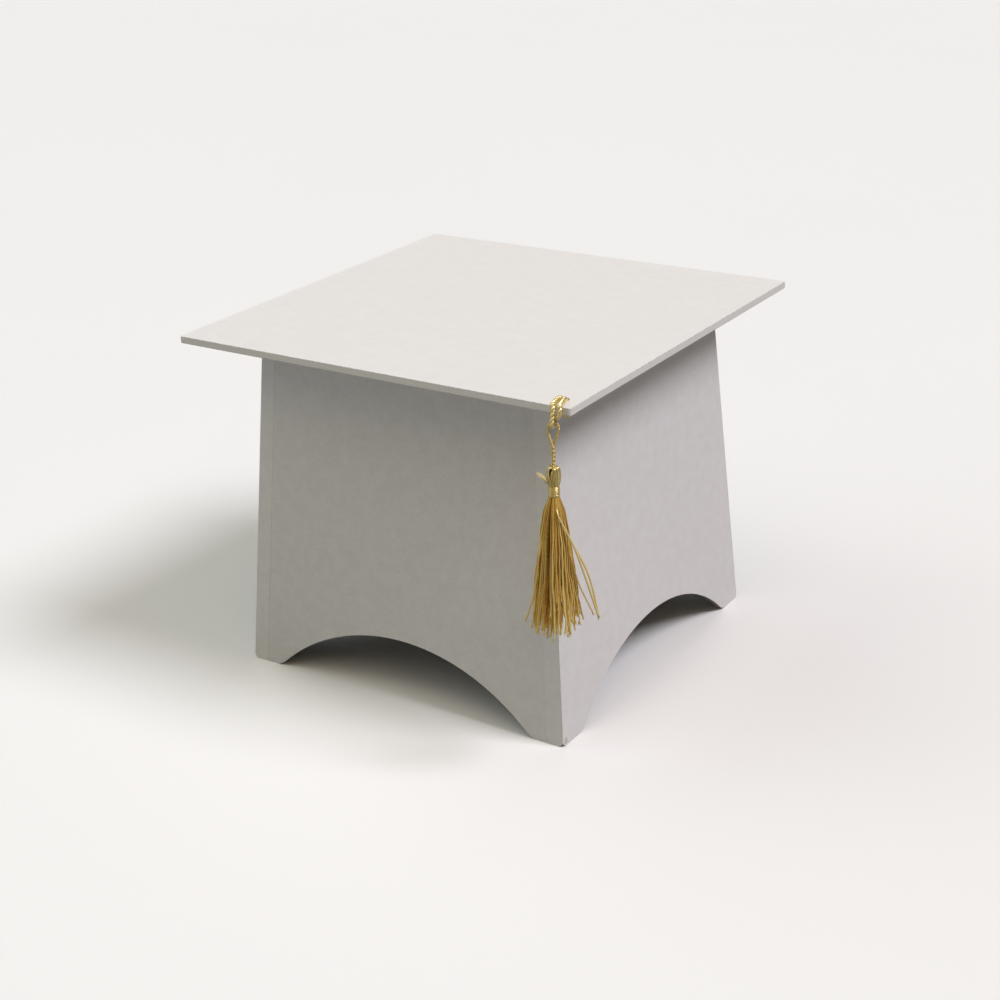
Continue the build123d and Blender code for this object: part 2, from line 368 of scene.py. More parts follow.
def place_group(tree, group, coordinates, **values):
    """A group's outputs. An underscore in a value's name stands for a space."""
    node = add_node(tree, "ShaderNodeGroup", node_tree=group)
    put(tree, coordinates, node.inputs["Coordinates"])
    for name, value in values.items():
        put(tree, value, node.inputs[name.replace("_", " ")])
    return node.outputs


def new_finish(name):
    """A material with its Principled BSDF, ready to be wired."""
    material = bpy.data.materials.new(name)
    material.use_nodes = True
    return material, material.node_tree, material.node_tree.nodes["Principled BSDF"]


def object_place(tree, offset=(0, 0, 0), turn=(0, 0, 0)):
    """Where a point of the piece is, in metres, moved and turned by a Mapping node."""
    place = add_node(tree, "ShaderNodeTexCoord")
    mapping = add_node(tree, "ShaderNodeMapping", Location=offset, Rotation=turn)
    tree.links.new(place.outputs["Object"], mapping.inputs["Vector"])
    return mapping.outputs["Vector"]


# %% [markdown]
# Paper looks plain from afar and is never plain close up. Its pulp settles in clouds of a
# few millimetres, fibres lie over them in a fine felt, and a sheet that was glued down by
# hand keeps slow dips of a few centimetres. Three noises of those three sizes do it.

# %% Paper fibre group
paper_fibre, given, made = new_group(
    "paper_fibre",
    {"Cloud mm": 5.0, "Felt mm": 0.5, "Dip mm": 45.0},
    ["Clouds", "Felt", "Dips"],
)
for size, label, detail, roughness in (
    ("Cloud mm", "Clouds", 3.0, 0.6),
    ("Felt mm", "Felt", 2.0, 0.65),
    ("Dip mm", "Dips", 1.0, 0.4),
):
    pulp = add_node(paper_fibre, "ShaderNodeTexNoise", Detail=detail, Roughness=roughness)
    per_metre = calculate(paper_fibre, "DIVIDE", 1000.0, given.outputs[size])
    put(paper_fibre, given.outputs["Coordinates"], pulp.inputs["Vector"])
    put(paper_fibre, per_metre, pulp.inputs["Scale"])
    put(paper_fibre, pulp.outputs["Fac"], made.inputs[label])

# %% [markdown]
# A folded sheet is rubbed along its folds. The fold mask is worked out from the size of
# the block that the sheet covers: a point lies on a fold where it is close to two of the
# block's faces at once. A block that narrows upwards gets a lean, the share by which its
# half width falls with height. A little noise breaks the line, as wear does.

# %% Rubbed fold group
rubbed_fold, given, made = new_group(
    "rubbed_fold",
    {"Half X": 0.1, "Half Y": 0.1, "Half Z": 0.1, "Lean": 0.0, "Width": 0.0006},
    ["Folds"],
)
axes = add_node(rubbed_fold, "ShaderNodeSeparateXYZ")
put(rubbed_fold, given.outputs["Coordinates"], axes.inputs[0])
shrink = calculate(rubbed_fold, "MULTIPLY", axes.outputs["Z"], given.outputs["Lean"])
closeness = {}
for axis in "XYZ":
    half = given.outputs[f"Half {axis}"]
    if axis != "Z":
        half = calculate(rubbed_fold, "SUBTRACT", half, shrink)
    distance = calculate(
        rubbed_fold, "SUBTRACT", half, calculate(rubbed_fold, "ABSOLUTE", axes.outputs[axis])
    )
    closeness[axis] = ramp_between(
        rubbed_fold, distance, 0.0, given.outputs["Width"], 1.0, 0.0, smooth=True
    )
upright = calculate(rubbed_fold, "MULTIPLY", closeness["X"], closeness["Y"])
on_a_side = calculate(rubbed_fold, "MAXIMUM", closeness["X"], closeness["Y"])
level = calculate(rubbed_fold, "MULTIPLY", on_a_side, closeness["Z"])
wear = add_node(rubbed_fold, "ShaderNodeTexNoise", Scale=700.0, Detail=2.0)
put(rubbed_fold, given.outputs["Coordinates"], wear.inputs["Vector"])
broken = ramp_between(rubbed_fold, wear.outputs["Fac"], 0.35, 0.62, 0.15, 1.0)
line = calculate(rubbed_fold, "MAXIMUM", upright, level)
put(rubbed_fold, calculate(rubbed_fold, "MULTIPLY", line, broken), made.inputs["Folds"])

# %% [markdown]
# The paper finishes mix a thin and a thick tone by the clouds and the felt, and lift the
# surface by the felt and the dips. The mix is kept narrow, because white paper that varies
# by more than a few hundredths looks dirty.

# %% Paper finishes
dip_height = 0.30 * mm
tone_spread = 0.24


def paper_finish(name, thin, thick, rough, felt=0.012, cloud_mm=5.0, speckle=0.45, folds=None):
    """felt is a height in millimetres. folds is (tone, offset, values of the fold group)."""
    material, tree, bsdf = new_finish(name)
    place = object_place(tree, turn=(0.3, 0.5, 0.2))
    fibre = place_group(tree, paper_fibre, place, Cloud_mm=cloud_mm)
    pulp = calculate(tree, "MULTIPLY_ADD", fibre["Felt"], speckle, fibre["Clouds"])
    middle = 0.5 + speckle / 2
    thickness = ramp_between(tree, pulp, middle - tone_spread, middle + tone_spread)
    tone = blend_tones(tree, thickness, thin, thick)
    if folds:
        fold_tone, offset, sizes = folds
        worn = place_group(tree, rubbed_fold, object_place(tree, offset=offset), **sizes)["Folds"]
        tone = blend_tones(tree, worn, tone, fold_tone)
    put(tree, tone, bsdf.inputs["Base Color"])
    roughness = ramp_between(tree, fibre["Felt"], 0.3, 0.7, rough - 0.05, rough + 0.05)
    put(tree, roughness, bsdf.inputs["Roughness"])
    glued = raise_surface(tree, fibre["Dips"], dip_height)
    put(tree, raise_surface(tree, fibre["Felt"], felt * mm, glued), bsdf.inputs["Normal"])
    bsdf.inputs["Specular IOR Level"].default_value = 0.22
    return material


board_half = board_high.x
board_middle = (board_low.z + board_high.z) / 2
board_overhang = 22.9 * mm
foot_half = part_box("wall_cover_right")[1].x
top_half = board_half - board_overhang
lid_base = board_low.z
wall_lean = (foot_half - top_half) / lid_base
rubbed_white = (0.50, 0.48, 0.44)

board_paper = paper_finish(
    "board_paper", (0.855, 0.835, 0.815), (0.885, 0.868, 0.850), 0.60,
    folds=(rubbed_white, (0, 0, -board_middle), {
        "Half_X": board_half, "Half_Y": board_half,
        "Half_Z": (board_high.z - board_low.z) / 2, "Width": 0.45 * mm,
    }),
)
wall_folds = ((0.74, 0.72, 0.69), (0, 0, 0), {
    "Half_X": foot_half, "Half_Y": foot_half, "Half_Z": lid_base,
    "Lean": wall_lean, "Width": 0.7 * mm,
})
side_wall_paper = paper_finish(
    "side_wall_paper", (0.835, 0.812, 0.798), (0.895, 0.880, 0.870), 0.62,
    speckle=1.5, folds=wall_folds,
)
# A darker copy of the side walls' paper: painted shade on the front and back walls.
painted_shade_wall_paper = paper_finish(
    "painted_shade_wall_paper", (0.790, 0.770, 0.752), (0.862, 0.846, 0.832), 0.64,
    speckle=1.8, folds=wall_folds,
)
lining_paper = paper_finish(
    "lining_paper", (0.80, 0.79, 0.77), (0.86, 0.85, 0.84), 0.75, felt=0.02, cloud_mm=8.0
)
stay_paper = paper_finish(
    "stay_paper", (0.72, 0.66, 0.56), (0.79, 0.74, 0.65), 0.7, felt=0.03, cloud_mm=3.0
)
print("half the body's width, mm:", [round(half / mm, 1) for half in (foot_half, top_half)])

# %% [markdown]
# Pasteboard is pressed from waste pulp. Its flat faces are speckled grey-brown. Where a
# blade cut it, the layers show as fine lines along the edge, a tenth of a millimetre
# apart. Layers lie flat in the board, so the lines follow the distance from the nearest
# wall face, and a stretched noise gives lines that aren't quite even.

# %% Pasteboard finish
pasteboard, tree, bsdf = new_finish("pasteboard")
here = object_place(tree)
specks = add_node(tree, "ShaderNodeTexVoronoi", Scale=900.0, Randomness=1.0)
put(tree, here, specks.inputs["Vector"])
pulp = add_node(tree, "ShaderNodeTexNoise", Scale=1400.0, Detail=4.0, Roughness=0.7)
put(tree, here, pulp.inputs["Vector"])
layers = add_node(tree, "ShaderNodeMapping", Scale=(0.12, 0.12, 1.0))
put(tree, here, layers.inputs["Vector"])
pressed = add_node(tree, "ShaderNodeTexNoise", Scale=6000.0, Detail=1.0)
put(tree, layers.outputs["Vector"], pressed.inputs["Vector"])
clump = ramp_between(tree, pulp.outputs["Fac"], 0.3, 0.7)
grey = blend_tones(tree, clump, (0.30, 0.27, 0.23), (0.46, 0.42, 0.37))
speck = ramp_between(tree, specks.outputs["Distance"], 0.05, 0.2, 0.6, 0.0)
grey = blend_tones(tree, speck, grey, (0.17, 0.15, 0.13))
streak = ramp_between(tree, pressed.outputs["Fac"], 0.4, 0.7, 0.0, 0.35)
put(tree, blend_tones(tree, streak, grey, (0.58, 0.54, 0.48)), bsdf.inputs["Base Color"])
put(tree, ramp_between(tree, pulp.outputs["Fac"], 0.3, 0.7, 0.8, 0.95), bsdf.inputs["Roughness"])
put(tree, raise_surface(tree, pulp.outputs["Fac"], 0.05 * mm), bsdf.inputs["Normal"])
bsdf.inputs["Specular IOR Level"].default_value = 0.15

# %% [markdown]
# Gold thread is bright viscose: many fine filaments side by side, which shine like satin.
# The filaments show as ridges that run along the thread and turn slowly round it. In the
# colour the ridges are painted lighter than the grooves between them: painted highlight and
# painted shade. The UV map has U along the thread and V round it, so a sine of both gives
# ridges that meet at the seam. The count is a whole number for that reason.

# %% Thread filament group
filaments, given, made = new_group(
    "filaments", {"Count": 5.0, "Turns": 12.0, "Fleck mm": 0.8}, ["Ridge", "Fleck and painted glint"]
)
uv = add_node(filaments, "ShaderNodeUVMap", uv_map="UVMap")
parts = add_node(filaments, "ShaderNodeSeparateXYZ")
put(filaments, uv.outputs["UV"], parts.inputs[0])
fleck = add_node(filaments, "ShaderNodeTexNoise", Detail=2.0, Roughness=0.6)
per_metre = calculate(filaments, "DIVIDE", 1000.0, given.outputs["Fleck mm"])
put(filaments, given.outputs["Coordinates"], fleck.inputs["Vector"])
put(filaments, per_metre, fleck.inputs["Scale"])
around = calculate(filaments, "MULTIPLY", parts.outputs["Y"], given.outputs["Count"])
turning = calculate(filaments, "MULTIPLY_ADD", parts.outputs["X"], given.outputs["Turns"], around)
loose = calculate(filaments, "MULTIPLY_ADD", fleck.outputs["Fac"], 0.7, turning)
wave = calculate(filaments, "SINE", calculate(filaments, "MULTIPLY", loose, math.tau))
put(filaments, calculate(filaments, "MULTIPLY_ADD", wave, 0.5, 0.5), made.inputs["Ridge"])
put(filaments, fleck.outputs["Fac"], made.inputs["Fleck and painted glint"])

# %% [markdown]
# Each thread carries a shade on its vertices, so that neighbours differ and cut ends can
# be paler. Some of it is painted light and shade: the head's core is painted dark, and the
# fringe is painted paler towards its ends. The finish reads it with an Attribute node.
# Viscose isn't metal, but a gold one has coloured shine, and some metallic is the plain way
# to tint the highlights.

# %% Thread finishes
ridge_height = 0.03 * mm


def thread_finish(name, dark, middle, pale, count, turns, rough, metallic, sheen=0.0):
    """Three tones, then how many filaments show round the thread and how often they turn."""
    material, tree, bsdf = new_finish(name)
    satin = place_group(tree, filaments, object_place(tree), Count=count, Turns=turns)
    shade = add_node(tree, "ShaderNodeAttribute", attribute_name="shade").outputs["Fac"]
    light = calculate(tree, "MULTIPLY", shade, 0.95)
    # Painted highlight and shade: the ridges lift the tone and the grooves between them lower it.
    light = calculate(tree, "MULTIPLY_ADD", satin["Ridge"], 0.35, light)
    light = calculate(tree, "SUBTRACT", light, 0.35)
    # The fleck noise adds tone that differs at random, and painted glints along the thread.
    light = calculate(tree, "MULTIPLY_ADD", satin["Fleck and painted glint"], 0.5, light)
    tone = blend_tones(tree, ramp_between(tree, light, 0.0, 0.55), dark, middle)
    tone = blend_tones(tree, ramp_between(tree, light, 0.55, 1.1), tone, pale)
    put(tree, tone, bsdf.inputs["Base Color"])
    roughness = ramp_between(tree, satin["Ridge"], 0.0, 1.0, rough + 0.12, rough)
    put(tree, roughness, bsdf.inputs["Roughness"])
    put(tree, raise_surface(tree, satin["Ridge"], ridge_height), bsdf.inputs["Normal"])
    bsdf.inputs["Metallic"].default_value = metallic
    bsdf.inputs["Specular IOR Level"].default_value = 0.5
    bsdf.inputs["Specular Tint"].default_value = (1.0, 0.88, 0.55, 1)
    if sheen:
        bsdf.inputs["Sheen Weight"].default_value = sheen
        bsdf.inputs["Sheen Tint"].default_value = (1.0, 0.80, 0.40, 1)
    return material


gold_cord = thread_finish(
    "gold_cord", (0.26, 0.13, 0.02), (0.88, 0.64, 0.22), (1.0, 0.93, 0.58), 6, 40, 0.22, 0.55
)
gold_thin_cord = thread_finish(
    "gold_thin_cord", (0.18, 0.09, 0.015), (0.68, 0.46, 0.14), (1.0, 0.85, 0.42),
    4, 60, 0.28, 0.45,
)
gold_satin = thread_finish(
    "gold_satin", (0.18, 0.09, 0.015), (0.72, 0.50, 0.15), (1.0, 0.92, 0.50), 3, 3, 0.20, 0.55
)
gold_yarn = thread_finish(
    "gold_yarn", (0.15, 0.058, 0.005), (0.74, 0.40, 0.055), (1.0, 0.79, 0.28),
    4, 26, 0.32, 0.25, sheen=0.25,
)
# A paler copy of the gold yarn: painted light for the stray yarns that lie across the light.
painted_lit_yarn = thread_finish(
    "painted_lit_yarn", (0.42, 0.22, 0.04), (1.0, 0.69, 0.19), (1.0, 0.89, 0.47),
    4, 26, 0.25, 0.25, sheen=0.25,
)
print("finishes so far:", [material.name for material in bpy.data.materials])

# %% [markdown]
# ## Hanger cord
# The plies of the thick cord are fuller than half its width, because they press into each
# other. The mesh follows the route's own line, so the cord's length can be checked. The
# second ply is a little paler than the first. One seed makes every run draw the same.

# %% Hanger cord
random.seed(7)


def laid_cord(line, width, pitch, plies=2, roundness=4):
    """A rope of several plies laid round a line."""
    bm = bmesh.new()
    frames = sideways_frames(line)
    orbit, radius = 0.22 * width, 0.285 * width
    for k in range(plies):
        ply = screw_line(line, frames, orbit, pitch, math.tau * k / plies)
        add_tube(bm, ply, radius, roundness=roundness, shade=0.72 + 0.16 * k)
    return bm


hanger_cord = finished(
    laid_cord(hanger_line, 2.00 * mm, 3.6 * mm), "hanger_cord_laid", gold_cord
)
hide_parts("hanger_cord")
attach(hanger_cord, "lid")

# %% [markdown]
# ## Thin cord
# The loop and the stem meet where the tassel sways. They are one mesh along one line, and
# the mesh is not attached to a body.

# %% Thin cord
thin_cord = finished(
    laid_cord(thin_line, 1.10 * mm, 2.0 * mm, roundness=3), "thin_cord_laid",
    gold_thin_cord,
)
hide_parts("tassel_loop", "tassel_shank")
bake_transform(thin_cord)

# %% [markdown]
# ## Knot under the board
# Both ends of the hanger go through the hole and are tied off below. An overhand knot is a
# trefoil: its line goes twice round while it weaves up and down three times. The two cut
# ends hang out of it and fray a little.

# %% Knot
knot_low, knot_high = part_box("hanger_knot")
knot_middle = (knot_low + knot_high) / 2
knot_middle.z = knot_high.z - 2.2 * mm
knot_points = 96
knot_line = []
for i in range(knot_points + 1):
    t = math.tau * i / knot_points
    knot_line.append(knot_middle + mm * Vector((
        0.72 * (math.sin(t) + 2 * math.sin(2 * t)),
        0.72 * (math.cos(t) - 2 * math.cos(2 * t)),
        -0.95 * math.sin(3 * t),
    )))
bm = laid_cord(evenly_spaced(knot_line, 0.15 * mm), 1.6 * mm, 3.3 * mm)
filaments_in_end = 9
for turn, length in ((1.9, 2.0), (2.9, 1.7)):
    out = Vector((math.cos(turn), math.sin(turn), 0)) * mm
    for _ in range(filaments_in_end):
        spread = Vector((random.uniform(-1, 1), random.uniform(-1, 1), 0)) * 0.55 * mm
        start = knot_middle + out * 1.0 - Vector((0, 0, 0.8 * mm))
        middle = start + out * 0.5 - Vector((0, 0, 1.2 * mm)) + spread * 0.4
        drop = length * mm * random.uniform(0.6, 0.8)
        end = start + out * 0.9 - Vector((0, 0, drop)) + spread
        add_tube(bm, [start, middle, end], 0.2 * mm, [1.0, 1.0, 0.5], roundness=1, shade=0.8)
knot = finished(bm, "hanger_knot_tied", gold_cord)
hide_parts("hanger_knot")
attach(knot, "lid")

# %% [markdown]
# ## Tassel head
# A tassel's head is made by laying yarns over the cord and folding them down. A turned
# core fills the inside. Its outline is spun once about the axis, and the double vertices at
# its poles are merged, so that the skin is closed.

# %% Spun shapes
def around_axis(radius, height, angle):
    """A point by its distance from the tassel's axis, its height and its angle."""
    return Vector((
        tassel_axis.x + radius * math.cos(angle), tassel_axis.y + radius * math.sin(angle), height
    ))


def spun_outline(points, centre, steps):
    """A new bm with the points joined and spun a full turn about an upright axis."""
    bm = bmesh.new()
    verts = [bm.verts.new(point) for point in points]
    edges = [bm.edges.new(pair) for pair in zip(verts, verts[1:])]
    bmesh.ops.spin(
        bm, geom=verts + edges, cent=centre, axis=(0, 0, 1), angle=math.tau, steps=steps,
        use_merge=True,
    )
    bmesh.ops.remove_doubles(bm, verts=bm.verts, dist=1e-6)
    bmesh.ops.recalc_face_normals(bm, faces=bm.faces)
    return bm


# %% [markdown]
# The head's threads lie side by side on the core. Each starts in the neck, climbs the
# outside, turns over the top and goes down into the middle. They part a little at one
# place, where the core can be seen between them; the core is painted dark, as painted
# shade of the hollow inside the head. Each station of a thread is its distance from the
# axis, its height below the head's top, and how far the parting moves it.

# %% Head
head_core = [
    (0.0, head_low.z - 0.5 * mm), (1.5, head_low.z - 0.4 * mm), (1.75, head_low.z + 0.6 * mm),
    (2.05, head_low.z + 2.0 * mm), (1.95, head_low.z + 4.2 * mm), (1.45, head_top - 1.9 * mm),
    (1.0, head_top - 1.4 * mm), (0.0, head_top - 1.7 * mm),
]
bm = spun_outline([around_axis(r * mm, z, 0.0) for r, z in head_core], tassel_axis, 28)
shades = shade_layer(bm)
# Painted shade: the whole core gets a shade below zero, so it shows dark in the parting.
for v in bm.verts:
    v[shades] = -0.4
head_threads = 40
head_stations = [
    (1.50, -8.2, 0.0), (1.85, -7.3, 0.0), (2.25, -5.9, 0.05), (2.40, -4.3, 0.25),
    (2.42, -2.9, 0.7), (2.30, -1.5, 1.0), (1.85, -0.42, 1.0), (1.15, -0.26, 0.5),
    (0.72, -0.75, 0.0), (0.66, -2.2, 0.0),
]
thread_height = 8.2
hollow_angle = math.radians(-84)
parting_width = 0.42
for k in range(head_threads):
    angle = math.tau * (k + random.uniform(-0.2, 0.2)) / head_threads
    fullness = random.uniform(-0.10, 0.08) * mm
    slant = random.uniform(-0.10, 0.16)
    away = math.remainder(angle - hollow_angle, math.tau)
    parting = math.copysign(parting_width * math.exp(-((away / parting_width) ** 2)), away)
    route = smooth_route("head_thread", [
        around_axis(
            r * mm + (fullness if r > 2 else 0), head_top + z * mm,
            angle + slant * (z + thread_height) / thread_height + parting * weight,
        )
        for r, z, weight in head_stations
    ])
    route.splines[0].resolution_u = 4
    line = evenly_spaced(read_line(route), 0.35 * mm)
    swell = [0.75 + 0.25 * min(1.0, i / 6) for i in range(len(line))]
    add_tube(bm, line, 0.235 * mm, swell, roundness=1, shade=random.uniform(0.45, 1.05))
    bpy.data.curves.remove(route)
head = finished(bm, "tassel_head_threads", gold_satin)
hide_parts("tassel_head")
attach(head, "tassel")

# %% [markdown]
# ## Neck band
# The neck is bound with one satin thread, wound tight from the bottom to the top. It is a
# single screw line about the axis. The rows swell a little at mid height, where the yarns
# below them bulge.

# %% Neck band
band_low, band_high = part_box("tassel_neck_band")
band_turns, steps_per_turn = 10, 22
band_steps = band_turns * steps_per_turn
band_climb = band_high.z - band_low.z - 0.40 * mm
band_line = []
for i in range(band_steps + 1):
    share = i / band_steps
    swell = 0.10 * math.sin(math.pi * share)
    band_line.append(around_axis(
        (1.86 + swell) * mm, band_low.z + 0.22 * mm + band_climb * share,
        math.tau * i / steps_per_turn,
    ))
bm = bmesh.new()
add_tube(bm, band_line, 0.25 * mm, roundness=2, shade=0.72)
band = finished(bm, "tassel_band_wound", gold_satin)
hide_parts("tassel_neck_band")
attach(band, "tassel")

# %% [markdown]
# The band's cut end sticks out to one side as a frayed tuft, with its filaments open. It is
# placed as the camera sees it: so far to the right, so high, and so far towards the camera.

# %% Frayed end of the band's thread
def as_seen(right, height, towards):
    """A point by its distances from the tassel's axis and from the floor, in millimetres."""
    across = Vector((math.cos(pan), math.sin(pan), 0))
    ahead = Vector((math.sin(pan), -math.cos(pan), 0))
    return Vector((tassel_axis.x, tassel_axis.y, 0)) + mm * (
        across * right + ahead * towards + Vector((0, 0, height))
    )


frayed_thread = thread_finish(
    "frayed_thread", (0.72, 0.60, 0.24), (0.90, 0.80, 0.42), (1.0, 0.95, 0.68),
    2, 2, 0.5, 0.1, sheen=0.4,
)
bm = bmesh.new()
tail_filaments = 26
for _ in range(tail_filaments):
    spread = Vector([random.gauss(0, 1) for _ in range(3)])
    start = as_seen(-1.9, 117.9, 1.2) + spread * 0.26 * mm
    middle = as_seen(-3.8, 120.0, 1.5) + spread * 0.30 * mm
    end = as_seen(-5.9, 121.8, 1.6) + spread * 0.34 * mm
    end = middle.lerp(end, random.uniform(0.55, 1.1))
    add_tube(
        bm, [start, middle, end], 0.13 * mm, [1.0, 1.0, 0.6], roundness=0, shade=random.random()
    )
tail = finished(bm, "band_thread_tail", frayed_thread)
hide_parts("band_tail")
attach(tail, "tassel")

# %% [markdown]
# ## Fringe
# The fringe is a bundle of yarns that are packed tight in the neck and spread lower down.
# A yarn keeps its place in the bundle: one near the middle stays near the middle. The
# bundle's outline is read as a list of heights and radii. Each yarn wanders a little and
# has a crimp, because it was twisted before it was cut, and no two end at one height.

# %% Yarns
yarn_top = band_high.z
yarn_length = yarn_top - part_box("tassel_fringe")[0].z
fibres_in_end = 4
outline = [
    (0.0, 1.50), (0.055, 1.62), (0.10, 2.6), (0.17, 4.1), (0.30, 5.6),
    (0.45, 6.6), (0.62, 7.7), (0.80, 8.9), (1.0, 10.3),
]


def bundle_radius(share):
    """The bundle's radius at a share of the yarn's length, in millimetres."""
    for (low, first), (high, second) in zip(outline, outline[1:]):
        if share <= high:
            return first + (second - first) * (share - low) / (high - low)
    return outline[-1][1]


def add_yarn(bm, line, radius, shade):
    """A yarn with a tapered neck, and fine fibres that fan out of its cut end."""
    count = len(line)
    radii = [0.62 + 0.38 * min(1.0, i / (0.3 * count)) for i in range(count)]
    add_tube(bm, line, radius, radii, roundness=1, shade=shade)
    out = (line[-1] - line[-3]).normalized()
    first = line[-2]
    for _ in range(fibres_in_end):
        spread = Vector([random.gauss(0, 0.24) for _ in range(3)])
        last = first + (out + spread) * random.uniform(1.0, 2.0) * mm
        add_tube(
            bm, [first, first.lerp(last, 0.5) + spread * 0.1 * mm, last], radius * 0.55,
            [1.0, 0.9, 0.5], roundness=0, shade=min(1.2, shade + 0.55),
        )


# %% [markdown]
# Yarns cling together in bunches, which lean out and end together. The yarns' places in the
# bundle follow the golden angle, as seeds do in a sunflower, so they fill it evenly. The
# shade rises towards the ends as painted light: the open fibres there catch the light, and
# the yarns are painted paler for it.

# %% Fringe
bunch_count, yarn_count, yarn_steps = 17, 190, 40
golden_angle = math.pi * (3 - math.sqrt(5))
painted_light_at_end = 0.5
bunches = []
for k in range(bunch_count):
    bunches.append({
        "angle": math.tau * (k + random.uniform(-0.3, 0.3)) / bunch_count,
        "lean_out": random.uniform(-0.9, 1.6), "shade": random.uniform(-0.2, 0.2),
        "ends_early": random.uniform(0.025, 0.08),
    })
bm = bmesh.new()
for k in range(yarn_count):
    place = math.sqrt((k + 0.5) / yarn_count)
    angle = math.remainder(k * golden_angle, math.tau)
    bunch = min(bunches, key=lambda b: abs(math.remainder(angle - b["angle"], math.tau)))
    gather = 0.62 * math.remainder(bunch["angle"] - angle, math.tau)
    ends_early = bunch["ends_early"] + 0.26 * random.random() ** 2
    wander = random.uniform(0.10, 0.34)
    first_phase, second_phase = random.uniform(0, math.tau), random.uniform(0, math.tau)
    slow, quick = random.uniform(1.5, 3.0), random.uniform(5, 9)
    drift = random.uniform(-0.10, 0.10)
    lean_out = bunch["lean_out"] + random.uniform(-0.5, 0.5)
    line = []
    for i in range(yarn_steps + 1):
        share = (1.0 - ends_early) * i / yarn_steps
        grown = 0.7 * min(1.0, share / 0.3) + 0.9 * share ** 3
        wave = wander * math.sin(math.tau * slow * share + first_phase)
        crimp = 0.07 * math.sin(math.tau * quick * share + second_phase)
        radius = place * 0.96 * bundle_radius(share) + lean_out * place * share ** 3
        radius += grown * (wave + crimp)
        swing = wander * math.cos(math.tau * slow * share + second_phase)
        sideways = grown * (swing + crimp) / max(radius, 1.2)
        line.append(around_axis(
            radius * mm, yarn_top - yarn_length * share,
            angle + drift * share + gather * share ** 2 + sideways,
        ))
    shade = random.choice((0.1, 0.3, 0.45, 0.6, 0.9)) + bunch["shade"] + random.uniform(-0.1, 0.1)
    add_yarn(bm, line, random.uniform(0.22, 0.31) * mm, shade)
shades = shade_layer(bm)
# Painted light: each yarn is painted paler the further down it reaches.
for v in bm.verts:
    v[shades] += painted_light_at_end * (yarn_top - v.co.z) / yarn_length
fringe = finished(bm, "tassel_fringe_yarns", gold_yarn)
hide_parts("tassel_fringe")
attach(fringe, "tassel")

# %% [markdown]
# A few yarns have sprung out of the bundle on one side. Their shine differs, because they
# lie across the light, so they are a piece of their own, with a paler copy of the yarn's
# finish as painted light.

# %% Stray yarns
bm = bmesh.new()
for radius, shade, stations in (
    (0.42, 0.95, (
        (0.6, 109.2, 2.0), (0.9, 107.4, 4.3), (2.55, 103.6, 4.7), (6.99, 94.4, 5.0),
        (10.2, 83.8, 4.2), (13.0, 74.0, 3.2), (15.5, 64.9, 2.2),
    )),
    (0.40, 0.75, (
        (1.2, 106.4, 2.0), (1.9, 105.0, 4.2), (3.2, 102.3, 4.7), (7.3, 93.6, 4.6),
        (11.6, 84.2, 3.6), (14.0, 74.0, 2.8), (15.5, 64.9, 2.0),
    )),
    (0.27, 0.6, (
        (3.4, 98.0, 2.2), (5.9, 88.0, 3.0), (8.2, 79.3, 3.6), (10.4, 74.0, 3.2),
        (13.6, 66.6, 2.6),
    )),
    (0.30, 0.55, (
        (-2.6, 104.0, 2.0), (-5.6, 92.0, 3.0), (-6.9, 82.0, 3.4), (-8.2, 73.0, 3.0),
        (-11.6, 63.4, 2.0),
    )),
):
    route = smooth_route("stray", [as_seen(*station) for station in stations])
    line = evenly_spaced(read_line(route), 1.1 * mm)
    add_yarn(bm, line, radius * mm, shade)
    bpy.data.curves.remove(route)
strays = finished(bm, "tassel_stray_yarns", painted_lit_yarn)
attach(strays, "tassel")

# %% [markdown]
# ## Wall covers
# The covers are single sheets of white paper. The two side covers go round the corners and
# lap seven millimetres onto the front and back walls, where their edges show as a faint
# step. The CAD sheets have the right outline. A copy of each gets its corners rounded as
# paper folds: the CAD mesh is loose triangles, so its doubles are merged and its flat
# faces made whole before the long outer folds are bevelled.

# %% Folded covers
fold_radius = 0.45 * mm
long_fold, sharp_fold, wide_face = 0.1, 1.2, 4e-4


def folded_copy(node):
    """A copy of a CAD sheet with its long folds rounded, where two wide faces meet."""
    bm = bmesh.new()
    bm.from_mesh(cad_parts[node].data)
    bmesh.ops.remove_doubles(bm, verts=bm.verts, dist=1e-6)
    bmesh.ops.dissolve_limit(
        bm, angle_limit=math.radians(1.0), verts=bm.verts, edges=bm.edges, delimit={"NORMAL"}
    )
    folds = [
        e for e in bm.edges
        if e.calc_length() > long_fold and e.is_convex and len(e.link_faces) == 2
        and e.calc_face_angle(0) > sharp_fold
        and min(f.calc_area() for f in e.link_faces) > wide_face
    ]
    if folds:
        bmesh.ops.bevel(
            bm, geom=folds, offset=fold_radius, affect="EDGES", segments=5, profile=0.5,
            material=-1,
        )
    print(node, "folds rounded:", len(folds))
    return bm


for side in ("front", "right", "back", "left"):
    node = f"wall_cover_{side}"
    # The front and back covers take the darker paper, as painted shade.
    paper = side_wall_paper if side in ("right", "left") else painted_shade_wall_paper
    cover = finished(folded_copy(node), f"{node}_paper", paper, smooth=False)
    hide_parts(node)
    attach(cover, "box")

# %% [markdown]
# Cut paper lifts where the box is picked up and put down. One small flake has come off the
# wrap at the front foot and shows its cream back. It is a fine grid, curled by raising its
# vertices, and given a thickness.

